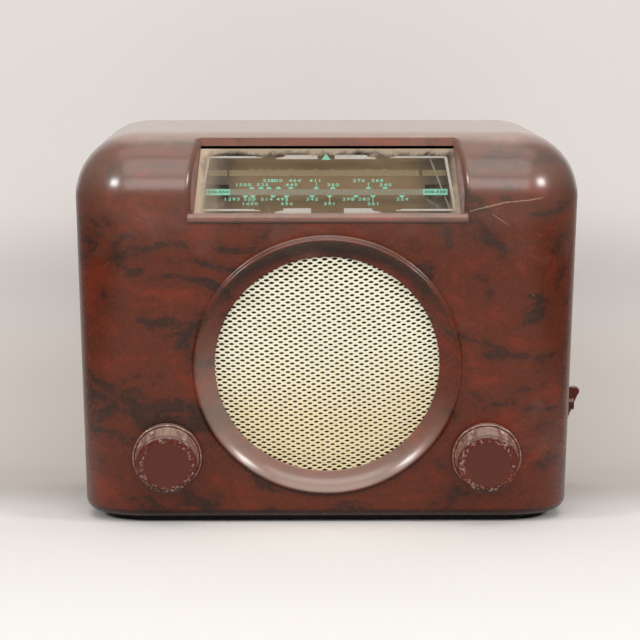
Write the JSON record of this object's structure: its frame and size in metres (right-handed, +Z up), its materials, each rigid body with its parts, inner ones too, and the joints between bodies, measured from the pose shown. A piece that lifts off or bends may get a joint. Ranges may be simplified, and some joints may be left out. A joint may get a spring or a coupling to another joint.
{
  "type": "radio receiver",
  "caption": "Table radio receiver in a moulded cabinet: leaning front with round speaker grille, tilted dial, two knobs and a side waveband lever.",
  "frame": {"origin": "on the table, under the middle of the cabinet's width and of its depth at the top", "axes": "+Z up, the front looks along -Y, +X to the right of someone facing the front"},
  "size_m": [0.3086, 0.2112, 0.235],
  "materials": {
    "bakelite": "mottled red-brown phenolic moulding, polished",
    "knob_bakelite": "dark brown phenolic moulding, polished",
    "black_board": "black pressed board",
    "fibreboard": "pressed brown fibreboard",
    "plated_steel": "zinc plated steel",
    "brass": "dull brass",
    "rubber": "black rubber",
    "dial_glass": "clear glass printed on its rear face",
    "spring_steel": "spring steel",
    "dial_card": "olive brown paint on steel",
    "frame_steel": "cadmium plated sheet steel",
    "chassis_steel": "plated sheet steel",
    "lamp": "brass cap with a glass bulb",
    "pointer": "cream paint",
    "dark_plastic": "black moulding powder",
    "cord": "braided flax drive cord",
    "control_case": "grey pressed case",
    "board": "resin bonded paper board",
    "gang_plate": "plated brass frame",
    "vane": "aluminium vanes",
    "valve_glass": "clear glass, silvered at the top",
    "electrode": "carbonised nickel",
    "can": "drawn aluminium",
    "ceramic": "vitreous wire wound former",
    "lamination": "stacked silicon steel laminations",
    "winding": "enamelled copper wire under waxed paper",
    "basket": "grey enamel on pressed steel",
    "cone_paper": "pulp paper",
    "spider_cloth": "varnished cloth",
    "magnet": "cast magnet, painted",
    "grille_enamel": "cream enamel on expanded sheet metal"
  },
  "bodies": {
    "case": {"cabinet": "bakelite", "base_plate": "black_board", "chassis_screws": "plated_steel", "rear_cover": "fibreboard", "rear_cover_screws": "brass", "mains_grommet": "rubber", "dial_glass": "dial_glass", "glass_cushion": "rubber", "glass_clips": "spring_steel", "dial_backplate": "dial_card", "dial_frame": "frame_steel", "frame_screws": "plated_steel", "dial_lamps": "lamp", "pointer_rail": "plated_steel", "drive_cord": "cord", "pointer_cord": "cord", "tuning_bracket": "frame_steel", "volume_control": "control_case", "volume_bracket": "frame_steel", "waveband_switch": "board", "gang_frame": "gang_plate", "gang_stators": "vane", "gang_bracket": "frame_steel", "chassis": "chassis_steel", "valve_holders": "dark_plastic", "valve_envelopes": "valve_glass", "valve_electrodes": "electrode", "valve_bases": "can", "first_tuned_can": "can", "second_tuned_can": "can", "smoothing_capacitor": "can", "mains_dropper": "ceramic", "output_transformer": "lamination", "transformer_coil": "winding", "speaker_basket": "basket", "cone_surround": "cone_paper", "centring_spider": "spider_cloth", "speaker_magnet": "magnet", "speaker_grille": "grille_enamel", "speaker_screws": "plated_steel", "frame_aerial": "fibreboard", "aerial_winding": "winding", "aerial_sockets": "board"},
    "tuning": {"tuning_knob": "knob_bakelite", "tuning_knob_screw": "plated_steel", "tuning_spindle": "plated_steel"},
    "gang_drive": {"drive_drum": "brass", "gang_rotor": "vane"},
    "pointer": {"dial_pointer": "pointer"},
    "left_wheel": {"pulley_left": "dark_plastic"},
    "upper_right_wheel": {"pulley_upper_right": "dark_plastic"},
    "lower_right_wheel": {"pulley_lower_right": "dark_plastic"},
    "volume": {"volume_knob": "knob_bakelite", "volume_knob_screw": "plated_steel", "volume_spindle": "plated_steel"},
    "waveband": {"waveband_knob": "knob_bakelite", "waveband_spindle": "plated_steel"},
    "cone": {"speaker_cone": "cone_paper", "dust_cap": "cone_paper", "voice_coil": "winding"}
  },
  "joints": [
    {"name": "tuning", "type": "hinge", "parent": "case", "child": "tuning", "pos_m": [0.0952, -0.07478, 0.042], "axis": [0, -0.9806, -0.1959], "range_deg": [0, 1687]},
    {"name": "gang_turn", "type": "hinge", "parent": "case", "child": "gang_drive", "pos_m": [0.1, -0.048, 0.098], "axis": [0, -1, 0], "range_deg": [0, 180]},
    {"name": "pointer_slide", "type": "slide", "parent": "case", "child": "pointer", "axis": [-1, 0, 0], "range_m": [0, 0.118]},
    {"name": "left_wheel_turn", "type": "hinge", "parent": "case", "child": "left_wheel", "pos_m": [-0.084, -0.046, 0.203], "axis": [0, -1, 0], "range_deg": [0, 1350]},
    {"name": "upper_right_wheel_turn", "type": "hinge", "parent": "case", "child": "upper_right_wheel", "pos_m": [0.132, -0.046, 0.2025], "axis": [0, -1, 0], "range_deg": [0, 1228]},
    {"name": "lower_right_wheel_turn", "type": "hinge", "parent": "case", "child": "lower_right_wheel", "pos_m": [0.057, -0.046, 0.1925], "axis": [0, -1, 0], "range_deg": [-1228, 0]},
    {"name": "volume", "type": "hinge", "parent": "case", "child": "volume", "pos_m": [-0.0952, -0.07478, 0.042], "axis": [0, -0.9806, -0.1959], "range_deg": [-285, 0]},
    {"name": "waveband", "type": "hinge", "parent": "case", "child": "waveband", "pos_m": [0.1466, 0.028, 0.061], "axis": [1, 0, 0], "range_deg": [-30, 30]},
    {"name": "cone_travel", "type": "slide", "parent": "case", "child": "cone", "axis": [0, -0.9806, -0.1959], "range_m": [-0.001, 0.001], "stiffness_N_per_m": 1500, "deforming": ["cone_surround", "centring_spider"]}
  ],
  "couplings": [
    {"joint": "gang_turn", "follows": "tuning", "ratio": 0.10667},
    {"joint": "pointer_slide", "follows": "tuning", "m_per_rad": 0.004},
    {"joint": "left_wheel_turn", "follows": "tuning", "ratio": 0.8},
    {"joint": "upper_right_wheel_turn", "follows": "tuning", "ratio": 0.72727},
    {"joint": "lower_right_wheel_turn", "follows": "tuning", "ratio": -0.72727}
  ]
}
